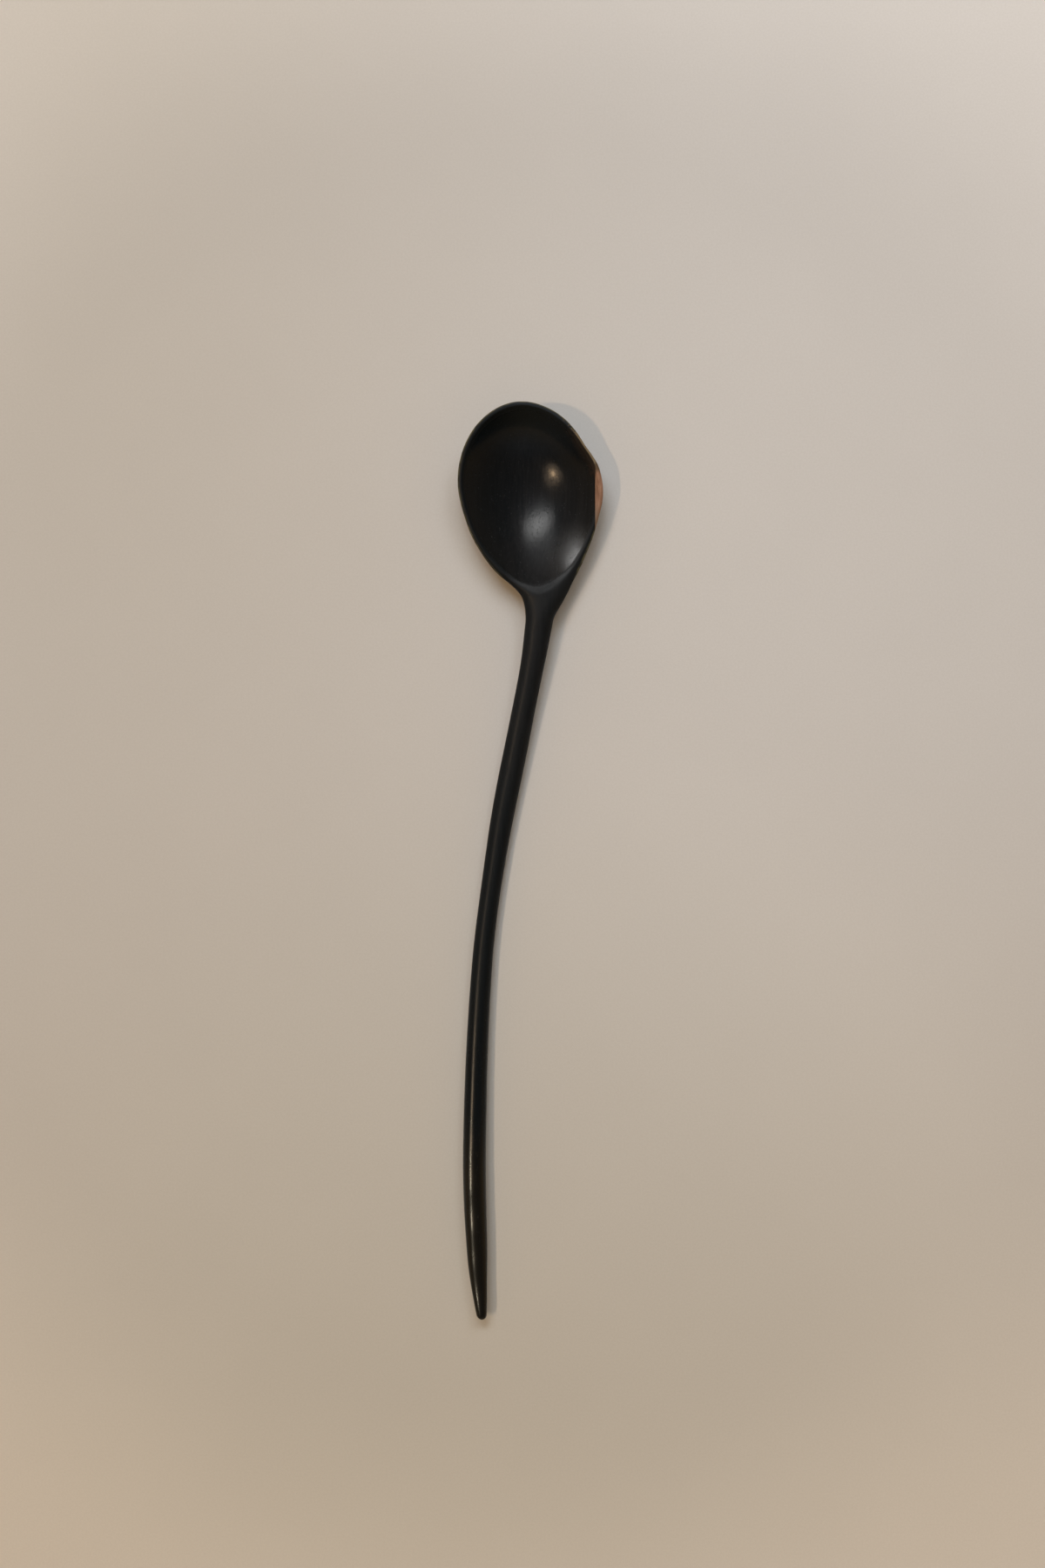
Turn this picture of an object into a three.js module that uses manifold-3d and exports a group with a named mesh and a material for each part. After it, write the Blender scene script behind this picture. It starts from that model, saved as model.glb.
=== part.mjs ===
// Hand-carved wooden eating spoon, in millimetres, +Z up.
// It lies on a table at z = 0 with its bowl towards +Y and its handle towards -Y.
// The origin is the middle of the small flat under the bowl on which the spoon rests.
import * as THREE from 'three';
import { mergeVertices } from 'three/addons/utils/BufferGeometryUtils.js';
import Module from 'manifold-3d';

const wasm = await Module();
wasm.setup();

// Lengths along the spoon. The bowl is measured both ways from its widest place, over the origin.
const bowlFrontLength = 23;
const bowlBackLength = 38.2;
const handleLength = 198;

// Widths across the spoon, seen from above.
const bowlWidth = 41;
const neckWidth = 7.8;
const waistWidth = 5.7;
const gripWidth = 6.6;
const tipWidth = 2.6;

// Heights above the table of the line along which the spoon is widest.
const frontEdgeHeight = 16.6;
const sideEdgeHeight = 9.8;
const backEdgeHeight = 7.6;
const neckEdgeHeight = 6.6;
const gripEdgeHeight = 3.3;
const tipEdgeHeight = 5.2;

// Wood above and below that line, and the thickness of the handle.
const rimRise = 0.9;
const neckRise = 2.7;
const neckDrop = 3.2;
const waistThickness = 6;
const gripThickness = 6.2;
const tipThickness = 2.8;

// Roundness of the forms: 2 is an ellipse, less is more pointed and more is squarer.
const frontRoundness = 1.9;
const hullRoundness = 1.85;
const rimSquareness = 3.6;
const handleSquareness = 2.2;
const tipRounding = 1.4;

// The hollow of the bowl. Its middle is a shallow dish with these radii across and along the
// spoon, and its deepest place lies a little behind the bowl's widest place and to the right.
// The higher its steepness, the nearer to the rim the dish turns up to meet it.
const rimThickness = 1.1;
const hollowBackWall = 9.2;
const hollowBackRoundness = 1.7;
const hollowRadiusAcross = 26.3;
const hollowRadiusAlong = 48.8;
const hollowFrontSteepness = 6;
const hollowBackSteepness = 4;
const hollowDeepestAt = -1.2;
const hollowDeepestAside = 0.5;
const hollowFlatShare = 0.6;
const floorThickness = 2.4;

// The flattened right-hand shoulder of the bowl. The hollow's rim follows a share of it.
const shoulderFlatDepth = 0.9;

// Flats on which the spoon rests: how deep each is cut into the round underside.
const heelFlatDepth = 0.3;
const handleFlatDepth = 0.2;

// The paler layer of wood at the right-hand rim, where the bowl is widest.
const stripWidth = 2.2;

// Fineness of the facets.
const pointsAround = 32;
const frontStations = 16;
const shoulderStations = 20;
const handleStations = 40;
const tipStations = 4;
const hollowPointsAround = 56;
const hollowRings = 12;

// Places along Y that follow from the lengths.
const frontEnd = bowlFrontLength;
const neckAt = -bowlBackLength;
const tipEnd = neckAt - handleLength;
const alongFront = (share) => frontEnd * share;
const alongBack = (share) => neckAt * share;
const alongHandle = (share) => neckAt - handleLength * share;
const waistAt = alongHandle(0.41);
const gripAt = alongHandle(0.76);

// A smooth curve through [place, value] knots, listed from the front to the tip.
function curveThrough(knots) {
  const slopes = knots.map((knot, i) => {
    const before = knots[Math.max(i - 1, 0)];
    const after = knots[Math.min(i + 1, knots.length - 1)];
    return (after[1] - before[1]) / (after[0] - before[0]);
  });
  return (y) => {
    let i = 0;
    while (i < knots.length - 2 && y < knots[i + 1][0]) i += 1;
    const [y0, v0] = knots[i];
    const [y1, v1] = knots[i + 1];
    const span = y1 - y0;
    const t = THREE.MathUtils.clamp((y - y0) / span, 0, 1);
    const ease = t * t * (3 - 2 * t);
    const startPull = t * (1 - t) * (1 - t) * span * slopes[i];
    const endPull = t * t * (t - 1) * span * slopes[i + 1];
    return v0 + (v1 - v0) * ease + startPull + endPull;
  };
}

// Seen from above, the bowl leans to the left and the handle swings left in one long bend.
const midline = curveThrough([
  [alongFront(1), -2.4],
  [alongFront(0), 0],
  [alongBack(0.37), 0.6],
  [alongBack(0.61), 1.75],
  [alongBack(0.79), 3.7],
  [alongBack(0.97), 2.6],
  [alongHandle(0.05), 0.9],
  [alongHandle(0.14), -2.6],
  [alongHandle(0.31), -9.1],
  [alongHandle(0.49), -13.8],
  [alongHandle(0.75), -15.95],
  [alongHandle(0.92), -15.05],
  [alongHandle(1), -13.8],
]);

// The hollow keeps to the left of the bowl's middle where the bowl runs out into the neck.
const hollowMidline = curveThrough([
  [alongFront(1), -2.4],
  [alongFront(0), 0],
  [alongBack(0.37), 0.6],
  [alongBack(0.5), 0.95],
  [alongBack(0.65), 1.5],
  [alongBack(0.79), 1.7],
]);

// Seen from the side, the bowl's edge sweeps up to the front. The handle comes down from the
// neck, lies on the table along its middle and lifts again towards the tip.
const lyingEdgeHeight = waistThickness / 2 - handleFlatDepth;
const edgeHeight = curveThrough([
  [alongFront(1), frontEdgeHeight],
  [alongFront(0.47), 11.9],
  [alongFront(0), sideEdgeHeight],
  [alongBack(0.56), backEdgeHeight],
  [neckAt, neckEdgeHeight],
  [alongHandle(0.1), 5],
  [alongHandle(0.21), 3.4],
  [waistAt, lyingEdgeHeight],
  [alongHandle(0.66), lyingEdgeHeight],
  [gripAt, gripEdgeHeight],
  [alongHandle(0.88), 4.2],
  [tipEnd, tipEdgeHeight],
]);

const handleHalfWidth = curveThrough([
  [neckAt, neckWidth / 2],
  [alongHandle(0.08), 3.35],
  [alongHandle(0.22), 3.4],
  [waistAt, waistWidth / 2],
  [gripAt, gripWidth / 2],
  [alongHandle(0.9), 2.95],
  [alongHandle(0.97), 1.95],
  [tipEnd, tipWidth / 2],
]);

const handleHalfThickness = curveThrough([
  [neckAt, neckRise],
  [alongHandle(0.22), 3.05],
  [waistAt, waistThickness / 2],
  [gripAt, gripThickness / 2],
  [tipEnd, tipThickness / 2],
]);

// 0 at the widest place of the bowl and 1 at its front edge.
const aheadShare = (y) => THREE.MathUtils.clamp(y / frontEnd, 0, 1);

// The bowl's shoulders: all of the bowl at its widest place, none of it at the neck. The knots
// beyond both ends mirror their neighbours, so that the curve is level where it starts and ends.
const shoulderCurve = curveThrough([
  [alongBack(-0.3), 0.85],
  [alongBack(0), 1],
  [alongBack(0.3), 0.85],
  [alongBack(0.48), 0.665],
  [alongBack(0.62), 0.47],
  [alongBack(0.72), 0.272],
  [alongBack(0.82), 0.122],
  [alongBack(1), 0],
  [alongBack(1.18), 0.11],
]);
const shoulder = (y) => shoulderCurve(THREE.MathUtils.clamp(y, neckAt, 0));

// A quarter of a superellipse: 1 at share 0 and 0 at share 1.
const quarter = (share, roundness) => Math.max(1 - share ** roundness, 0) ** (1 / roundness);

// Rounds an edge over within the given length: 0 at its very end and 1 past that length.
const roundOver = (inside, length) => {
  const share = THREE.MathUtils.clamp(1 - inside / length, 0, 1);
  return quarter(share, 2);
};
const frontRounding = (y) => roundOver(frontEnd - y, rimRise);
const endRounding = (y) => roundOver(y - tipEnd, tipRounding);

function halfWidth(y) {
  const bowl = bowlWidth / 2 * quarter(aheadShare(y), frontRoundness);
  const handle = handleHalfWidth(y) * endRounding(y);
  return THREE.MathUtils.lerp(handle, bowl, shoulder(y));
}

// How much the bowl's right-hand shoulder, ahead of the paler wood, is flattened.
const shoulderFlat = curveThrough([
  [alongFront(1), 0],
  [alongFront(0.82), 0.15],
  [alongFront(0.66), 0.6],
  [alongFront(0.5), shoulderFlatDepth],
  [alongFront(0.38), 0.45],
  [alongFront(0.27), 0],
  [alongFront(0.15), 0],
]);

// Half the width on one side of the midline: 1 is the right-hand side, -1 the left.
const sideWidth = (y, side) => halfWidth(y) - (side > 0 ? shoulderFlat(y) : 0);

// How far the wood rises above the widest line.
function rise(y) {
  const bowl = rimRise * frontRounding(y);
  const handle = handleHalfThickness(y) * endRounding(y);
  return THREE.MathUtils.lerp(handle, bowl, shoulder(y));
}

// How far the wood drops below it. The bowl and the middle of the handle reach a little below
// the table, and the flats on which the spoon rests take that away.
function drop(y) {
  const bowl = (edgeHeight(y) + heelFlatDepth) * quarter(aheadShare(y), hullRoundness);
  const nearNeck = THREE.MathUtils.smoothstep(y, waistAt, neckAt);
  const below = THREE.MathUtils.lerp(handleHalfThickness(y), neckDrop, nearNeck);
  return THREE.MathUtils.lerp(below * endRounding(y), bowl, shoulder(y));
}

// The bowl is squarer than the handle above the widest line, and more pointed below it.
const squareness = (y) => THREE.MathUtils.lerp(handleSquareness, rimSquareness, shoulder(y));
const fullness = (y) => THREE.MathUtils.lerp(handleSquareness, hullRoundness, shoulder(y));

// One cross-section at y.
function section(y) {
  const ring = [];
  for (let i = 0; i < pointsAround; i += 1) {
    const angle = 2 * Math.PI * i / pointsAround;
    const across = Math.cos(angle);
    const up = Math.sin(angle);
    const roundness = up > 0 ? squareness(y) : fullness(y);
    const reach = up > 0 ? rise(y) : drop(y);
    ring.push(new THREE.Vector3(
      midline(y) + sideWidth(y, across) * Math.sign(across) * Math.abs(across) ** (2 / roundness),
      y,
      edgeHeight(y) + reach * Math.sign(up) * Math.abs(up) ** (2 / roundness),
    ));
  }
  return ring;
}

// A closed skin over rings of equal count, drawn together to a point at each end.
function skin(start, rings, end) {
  const count = rings[0].length;
  const points = [start, ...rings.flat(), end];
  const last = points.length - 1;
  const at = (ring, i) => 1 + ring * count + i % count;
  const faces = [];
  for (let i = 0; i < count; i += 1) {
    faces.push(0, at(0, i + 1), at(0, i));
    for (let ring = 0; ring + 1 < rings.length; ring += 1) {
      faces.push(at(ring, i), at(ring + 1, i + 1), at(ring + 1, i));
      faces.push(at(ring, i), at(ring, i + 1), at(ring + 1, i + 1));
    }
    faces.push(at(rings.length - 1, i), at(rings.length - 1, i + 1), last);
  }
  const geometry = new THREE.BufferGeometry().setFromPoints(points);
  geometry.setIndex(faces);
  return geometry;
}

function toSolid(geometry) {
  const bare = geometry.clone();
  bare.deleteAttribute('normal');
  bare.deleteAttribute('uv');
  const merged = mergeVertices(bare);
  return new wasm.Manifold(new wasm.Mesh({
    numProp: 3,
    vertProperties: new Float32Array(merged.attributes.position.array),
    triVerts: new Uint32Array(merged.index.array),
  }));
}

function toGeometry(solid) {
  const mesh = solid.getMesh();
  const geometry = new THREE.BufferGeometry();
  geometry.setAttribute('position', new THREE.BufferAttribute(mesh.vertProperties, 3));
  geometry.setIndex(new THREE.BufferAttribute(mesh.triVerts, 1));
  const faceted = geometry.toNonIndexed();
  faceted.computeVertexNormals();
  return faceted;
}

function box(low, high) {
  const size = new THREE.Vector3().subVectors(high, low);
  const middle = new THREE.Vector3().addVectors(low, high).multiplyScalar(0.5);
  const geometry = new THREE.BoxGeometry(size.x, size.y, size.z);
  geometry.translate(middle.x, middle.y, middle.z);
  return toSolid(geometry);
}

// The outside of the spoon, lofted from the bowl's front edge to the tip of the handle.
// Stations crowd towards both ends, where the outline turns fastest.
function outerSkin() {
  const places = [];
  for (let i = 1; i <= frontStations; i += 1) {
    const turn = Math.PI / 2 * i / frontStations;
    places.push(alongFront(Math.cos(turn)));
  }
  for (let i = 1; i <= shoulderStations; i += 1) {
    places.push(alongBack(i / shoulderStations));
  }
  for (let i = 1; i <= handleStations; i += 1) {
    places.push(neckAt - (handleLength - tipRounding) * i / handleStations);
  }
  for (let i = 1; i < tipStations; i += 1) {
    places.push(tipEnd + tipRounding * (1 - Math.sin(Math.PI / 2 * i / tipStations)));
  }
  const front = new THREE.Vector3(midline(frontEnd), frontEnd, edgeHeight(frontEnd));
  const tip = new THREE.Vector3(midline(tipEnd), tipEnd, edgeHeight(tipEnd));
  return skin(front, places.map(section), tip);
}

// The hollow's rim: an egg one rim thickness inside the bowl's front and sides, with a
// solid back wall in front of the neck. Turn 0 is its front, half a turn its back.
function hollowRim(turn) {
  const along = Math.cos(turn);
  const ahead = along > 0;
  const length = ahead ? bowlFrontLength - rimThickness : bowlBackLength - hollowBackWall;
  const roundness = ahead ? frontRoundness : hollowBackRoundness;
  const y = length * along;
  const half = (bowlWidth / 2 - rimThickness) * quarter(Math.abs(along), roundness);
  const side = Math.sign(Math.sin(turn));
  const flattening = side > 0 ? shoulderFlat(y) * hollowFlatShare : 0;
  const x = hollowMidline(y) + side * (half - flattening);
  const aside = Math.min(Math.abs(x - midline(y)) / sideWidth(y, side), 1);
  return new THREE.Vector3(x, y, edgeHeight(y) + rise(y) * quarter(aside, squareness(y)));
}

// The hollow's height at a share of the way from its deepest place out to a place on its rim.
function hollowHeight(floor, rim, share) {
  const reach = Math.hypot(rim.x - floor.x, rim.y - floor.y);
  const ahead = (rim.y - floor.y) / reach;
  const bend = (1 - ahead * ahead) / hollowRadiusAcross + ahead * ahead / hollowRadiusAlong;
  const dish = bend * reach * reach / 2;
  const steepness = THREE.MathUtils.lerp(hollowBackSteepness, hollowFrontSteepness, (1 + ahead) / 2);
  return floor.z + dish * share * share + (rim.z - floor.z - dish) * share ** steepness;
}

// The hollow as a cutter: rings that sink from the rim to the deepest point of the floor, under a
// straight-sided shaft that stands well clear of the rim. The rings crowd towards the rim.
function hollowCutter() {
  const middle = hollowMidline(hollowDeepestAt) + hollowDeepestAside;
  const floor = new THREE.Vector3(middle, hollowDeepestAt, floorThickness);
  const shaftTop = 2 * frontEdgeHeight;
  const rings = [];
  const ringOf = (share, height) => {
    const ring = [];
    for (let i = 0; i < hollowPointsAround; i += 1) {
      const rim = hollowRim(2 * Math.PI * i / hollowPointsAround);
      const point = floor.clone().lerp(rim, share);
      point.z = height(rim);
      ring.push(point);
    }
    return ring;
  };
  rings.push(ringOf(1, () => shaftTop));
  for (let i = 0; i < hollowRings; i += 1) {
    const share = Math.cos(Math.PI / 2 * i / hollowRings);
    rings.push(ringOf(share, (rim) => hollowHeight(floor, rim, share)));
  }
  const top = new THREE.Vector3(floor.x, floor.y, shaftTop);
  return skin(top, rings, floor);
}

// Two halves of space, each a box that is larger than the spoon.
const far = bowlFrontLength + bowlBackLength + handleLength;
const stripPlane = bowlWidth / 2 - stripWidth;
const belowTable = box(new THREE.Vector3(-far, -far, -far), new THREE.Vector3(far, far, 0));
const beyondPlane = box(new THREE.Vector3(stripPlane, -far, -far), new THREE.Vector3(far, far, far));

const carved = toSolid(outerSkin()).subtract(belowTable).subtract(toSolid(hollowCutter()));

const darkWood = new THREE.MeshStandardMaterial({ color: 0x241a15, roughness: 0.42, metalness: 0 });
const paleWood = new THREE.MeshStandardMaterial({ color: 0x8f5f42, roughness: 0.5, metalness: 0 });

const spoon = new THREE.Group();

const body = new THREE.Mesh(toGeometry(carved.subtract(beyondPlane)), darkWood);
body.name = 'spoon_body';
spoon.add(body);

const strip = new THREE.Mesh(toGeometry(carved.intersect(beyondPlane)), paleWood);
strip.name = 'rim_strip';
spoon.add(strip);

export default spoon;
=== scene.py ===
"""A hand-carved spoon of near-black wood with a sliver of paler wood at its rim, lying on paper.

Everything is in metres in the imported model's frame: the bowl points to +Y, the handle to -Y, the
table is at z = 0, and the origin is the middle of the flat under the bowl.
"""

import logging
import math
from collections.abc import Sequence
from dataclasses import dataclass, field
from enum import Enum

import bmesh
import bpy
from bmesh.types import BMEdge, BMesh, BMLayerItem, BMVert
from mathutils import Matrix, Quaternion, Vector, noise


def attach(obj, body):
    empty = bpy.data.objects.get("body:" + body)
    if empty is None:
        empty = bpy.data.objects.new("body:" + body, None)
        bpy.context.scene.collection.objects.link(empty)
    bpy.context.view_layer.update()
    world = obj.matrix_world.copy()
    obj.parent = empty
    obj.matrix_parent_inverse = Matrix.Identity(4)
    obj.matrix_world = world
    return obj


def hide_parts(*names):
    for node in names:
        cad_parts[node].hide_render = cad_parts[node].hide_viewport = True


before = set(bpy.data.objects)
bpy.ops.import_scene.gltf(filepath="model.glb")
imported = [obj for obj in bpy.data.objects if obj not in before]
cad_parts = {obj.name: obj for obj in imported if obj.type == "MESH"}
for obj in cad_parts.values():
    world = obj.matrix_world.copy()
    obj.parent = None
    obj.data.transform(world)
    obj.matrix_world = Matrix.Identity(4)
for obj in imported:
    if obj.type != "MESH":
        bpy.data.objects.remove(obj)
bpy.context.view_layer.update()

log = logging.getLogger("spoon")

Knots = tuple[tuple[float, float], ...]
Place = tuple[float, float, float]
Tint = tuple[float, float, float]
Colour = tuple[float, float, float, float]
Source = bpy.types.NodeSocket | float | tuple[float, ...]

# Where a smooth change starts and ends, and then, if they aren't 0 and 1, the values there.
Span = tuple[float, ...]
# The values at both ends of such a change.
Ends = tuple[float, float]

NUMBER = "NodeSocketFloat"
VECTOR = "NodeSocketVector"
WHITE: Colour = (1.0, 1.0, 1.0, 1.0)
BACKDROP: Colour = (0.55, 0.50, 0.44, 1.0)
TINY = 1e-9


def clamp(value: float, low: float, high: float) -> float:
    """Keeps a value between two limits."""
    return max(low, min(high, value))


def mix(start: float, end: float, share: float) -> float:
    """Goes from start at share 0 to end at share 1."""
    return start + (end - start) * share


def ease(value: float, start: float, end: float) -> float:
    """Goes smoothly from 0 at start to 1 at end."""
    share = clamp((value - start) / (end - start), 0.0, 1.0)
    return share * share * (3 - 2 * share)


def quarter(share: float, roundness: float) -> float:
    """Follows a quarter of a superellipse: 1 at share 0 and 0 at share 1."""
    return max(1 - share**roundness, 0.0) ** (1 / roundness)


def round_over(inside: float, length: float) -> float:
    """Rounds an edge over within a length: 0 at its very end and 1 past that length."""
    return quarter(clamp(1 - inside / length, 0.0, 1.0), 2)


def soft_least(first: float, second: float, reach: float) -> float:
    """Takes the lesser of two heights, and rounds the crease between them.

    Args:
        first: One height.
        second: The other height.
        reach: The difference between them up to which they blend.

    Returns:
        The blended height.
    """
    share = clamp(0.5 + 0.5 * (second - first) / reach, 0.0, 1.0)
    return mix(second, first, share) - reach * share * (1 - share)


@dataclass(frozen=True)
class Curve:
    """A smooth curve through (place, value) knots, listed from the front to the tip."""

    knots: Knots

    def slope(self, i: int) -> float:
        """Gives the curve's slope at a knot, from the knots beside it."""
        beside = self.knots[max(i - 1, 0) : i + 2]
        return (beside[-1][1] - beside[0][1]) / (beside[-1][0] - beside[0][0])

    def at(self, place: float) -> float:
        """Reads the curve.

        Args:
            place: Any place. Beyond the curve's ends, the value stays as it is there.

        Returns:
            The curve's value at the place.
        """
        i = 0
        while i < len(self.knots) - 2 and place < self.knots[i + 1][0]:
            i += 1
        (y0, v0), (y1, v1) = self.knots[i], self.knots[i + 1]
        span = y1 - y0
        t = clamp((place - y0) / span, 0.0, 1.0)
        start_pull = t * (1 - t) ** 2 * span * self.slope(i)
        end_pull = t * t * (t - 1) * span * self.slope(i + 1)
        return mix(v0, v1, t * t * (3 - 2 * t)) + start_pull + end_pull


@dataclass
class SpoonForm:
    """The spoon's sizes, which repeat those of the part's source, and its formulas."""

    bowl_front_length: float = 0.023
    bowl_back_length: float = 0.0382
    handle_length: float = 0.198
    bowl_width: float = 0.041
    neck_width: float = 0.0078
    waist_width: float = 0.0057
    grip_width: float = 0.0066
    tip_width: float = 0.0026
    front_edge_height: float = 0.0166
    side_edge_height: float = 0.0098
    back_edge_height: float = 0.0076
    neck_edge_height: float = 0.0066
    grip_edge_height: float = 0.0033
    tip_edge_height: float = 0.0052
    rim_rise: float = 0.0009
    neck_rise: float = 0.0027
    neck_drop: float = 0.0032
    waist_thickness: float = 0.006
    grip_thickness: float = 0.0062
    tip_thickness: float = 0.0028
    front_roundness: float = 1.9
    hull_roundness: float = 1.85
    rim_squareness: float = 3.6
    handle_squareness: float = 2.2
    tip_rounding: float = 0.0014
    rim_thickness: float = 0.0011
    hollow_back_wall: float = 0.0092
    hollow_back_roundness: float = 1.7
    hollow_radius_across: float = 0.0263
    hollow_radius_along: float = 0.0488
    hollow_front_steepness: float = 6.0
    hollow_back_steepness: float = 4.0
    hollow_deepest_at: float = -0.0012
    hollow_deepest_aside: float = 0.0005
    hollow_flat_share: float = 0.6
    floor_thickness: float = 0.0024
    shoulder_flat_depth: float = 0.0009
    heel_flat_depth: float = 0.0003
    handle_flat_depth: float = 0.0002
    strip_width: float = 0.0022
    side_edge_softness: float = 0.0003
    back_edge_softness: float = 0.0009
    back_edge_turns: Span = (math.radians(70), math.radians(10))
    front_end: float = field(init=False)
    neck_at: float = field(init=False)
    tip_end: float = field(init=False)
    waist_at: float = field(init=False)
    midline: Curve = field(init=False)
    hollow_midline: Curve = field(init=False)
    edge_height: Curve = field(init=False)
    handle_half_width: Curve = field(init=False)
    handle_half_thickness: Curve = field(init=False)
    shoulder_curve: Curve = field(init=False)
    shoulder_flat: Curve = field(init=False)

    def __post_init__(self) -> None:
        """Lays the curves along the spoon."""
        front, back, handle = self.along_front, self.along_back, self.along_handle
        self.front_end = self.bowl_front_length
        self.neck_at = -self.bowl_back_length
        self.tip_end = self.neck_at - self.handle_length
        self.waist_at = handle(0.41)
        grip_at = handle(0.76)
        lying = self.waist_thickness / 2 - self.handle_flat_depth
        self.midline = Curve((
            (front(1), -0.0024), (front(0), 0.0), (back(0.37), 0.0006), (back(0.61), 0.00175),
            (back(0.79), 0.0037), (back(0.97), 0.0026), (handle(0.05), 0.0009),
            (handle(0.14), -0.0026), (handle(0.31), -0.0091), (handle(0.49), -0.0138),
            (handle(0.75), -0.01595), (handle(0.92), -0.01505), (handle(1), -0.0138),
        ))
        self.hollow_midline = Curve((
            (front(1), -0.0024), (front(0), 0.0), (back(0.37), 0.0006), (back(0.5), 0.00095),
            (back(0.65), 0.0015), (back(0.79), 0.0017),
        ))
        self.edge_height = Curve((
            (front(1), self.front_edge_height), (front(0.47), 0.0119),
            (front(0), self.side_edge_height), (back(0.56), self.back_edge_height),
            (self.neck_at, self.neck_edge_height), (handle(0.1), 0.005), (handle(0.21), 0.0034),
            (self.waist_at, lying), (handle(0.66), lying), (grip_at, self.grip_edge_height),
            (handle(0.88), 0.0042), (self.tip_end, self.tip_edge_height),
        ))
        self.handle_half_width = Curve((
            (self.neck_at, self.neck_width / 2), (handle(0.08), 0.00335), (handle(0.22), 0.0034),
            (self.waist_at, self.waist_width / 2), (grip_at, self.grip_width / 2),
            (handle(0.9), 0.00295), (handle(0.97), 0.00195), (self.tip_end, self.tip_width / 2),
        ))
        self.handle_half_thickness = Curve((
            (self.neck_at, self.neck_rise), (handle(0.22), 0.00305),
            (self.waist_at, self.waist_thickness / 2), (grip_at, self.grip_thickness / 2),
            (self.tip_end, self.tip_thickness / 2),
        ))
        self.shoulder_curve = Curve((
            (back(-0.3), 0.85), (back(0), 1.0), (back(0.3), 0.85), (back(0.48), 0.665),
            (back(0.62), 0.47), (back(0.72), 0.272), (back(0.82), 0.122), (back(1), 0.0),
            (back(1.18), 0.11),
        ))
        self.shoulder_flat = Curve((
            (front(1), 0.0), (front(0.82), 0.00015), (front(0.66), 0.0006),
            (front(0.5), self.shoulder_flat_depth), (front(0.38), 0.00045), (front(0.27), 0.0),
            (front(0.15), 0.0),
        ))

    def along_front(self, share: float) -> float:
        """Gives the place at a share of the way from the widest place to the front."""
        return self.bowl_front_length * share

    def along_back(self, share: float) -> float:
        """Gives the place at a share of the way from the widest place to the neck."""
        return -self.bowl_back_length * share

    def along_handle(self, share: float) -> float:
        """Gives the place at a share of the way from the neck to the tip."""
        return -self.bowl_back_length - self.handle_length * share

    def ahead_share(self, y: float) -> float:
        """Gives 0 at the widest place of the bowl and 1 at its front edge."""
        return clamp(y / self.front_end, 0.0, 1.0)

    def shoulder(self, y: float) -> float:
        """Gives 1 where the bowl is whole and 0 at the neck and in the handle."""
        return self.shoulder_curve.at(clamp(y, self.neck_at, 0.0))

    def end_rounding(self, y: float) -> float:
        """Rounds the tip of the handle over."""
        return round_over(y - self.tip_end, self.tip_rounding)

    def half_width(self, y: float) -> float:
        """Gives half the spoon's width at a place."""
        bowl = self.bowl_width / 2 * quarter(self.ahead_share(y), self.front_roundness)
        handle = self.handle_half_width.at(y) * self.end_rounding(y)
        return mix(handle, bowl, self.shoulder(y))

    def side_width(self, y: float, side: float) -> float:
        """Gives the width on one side of the midline: 1 is the right-hand side, -1 the left."""
        return self.half_width(y) - (self.shoulder_flat.at(y) if side > 0 else 0.0)

    def rise(self, y: float) -> float:
        """Gives how far the wood rises above the widest line."""
        bowl = self.rim_rise * round_over(self.front_end - y, self.rim_rise)
        handle = self.handle_half_thickness.at(y) * self.end_rounding(y)
        return mix(handle, bowl, self.shoulder(y))

    def drop(self, y: float) -> float:
        """Gives how far the wood drops below the widest line.

        Args:
            y: The place along the spoon.

        Returns:
            The depth, with the bowl's belly and the handle blended over the bowl's shoulders.
        """
        hull = quarter(self.ahead_share(y), self.hull_roundness)
        bowl = (self.edge_height.at(y) + self.heel_flat_depth) * hull
        near_neck = ease(y, self.waist_at, self.neck_at)
        below = mix(self.handle_half_thickness.at(y), self.neck_drop, near_neck)
        return mix(below * self.end_rounding(y), bowl, self.shoulder(y))

    def middle(self, y: float) -> Vector:
        """Places the middle of a cross-section, level with its widest line."""
        return Vector((self.midline.at(y), y, self.edge_height.at(y)))

    def squareness(self, y: float) -> float:
        """Gives how square the section is above the widest line."""
        return mix(self.handle_squareness, self.rim_squareness, self.shoulder(y))

    def fullness(self, y: float) -> float:
        """Gives how square the section is below the widest line."""
        return mix(self.handle_squareness, self.hull_roundness, self.shoulder(y))

    def section_point(self, y: float, turn: float) -> Vector:
        """Places one point of a cross-section.

        Args:
            y: The section's place along the spoon.
            turn: The angle round the section, 0 at its right edge and a quarter turn on top.

        Returns:
            The point on the outside of the spoon, on the table where the flats are.
        """
        across, up = math.cos(turn), math.sin(turn)
        above = up > 0
        power = 2 / (self.squareness(y) if above else self.fullness(y))
        reach = self.rise(y) if above else self.drop(y)
        width = self.side_width(y, across)
        x = self.midline.at(y) + width * math.copysign(abs(across) ** power, across)
        z = self.edge_height.at(y) + reach * math.copysign(abs(up) ** power, up)
        return Vector((x, y, max(z, 0.0)))

    def crown(self, x: float, y: float) -> float:
        """Gives the height of the spoon's top at a place, as if it had no hollow."""
        aside = x - self.midline.at(y)
        share = clamp(abs(aside) / max(self.side_width(y, aside), TINY), 0.0, 1.0)
        return self.edge_height.at(y) + self.rise(y) * quarter(share, self.squareness(y))

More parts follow.
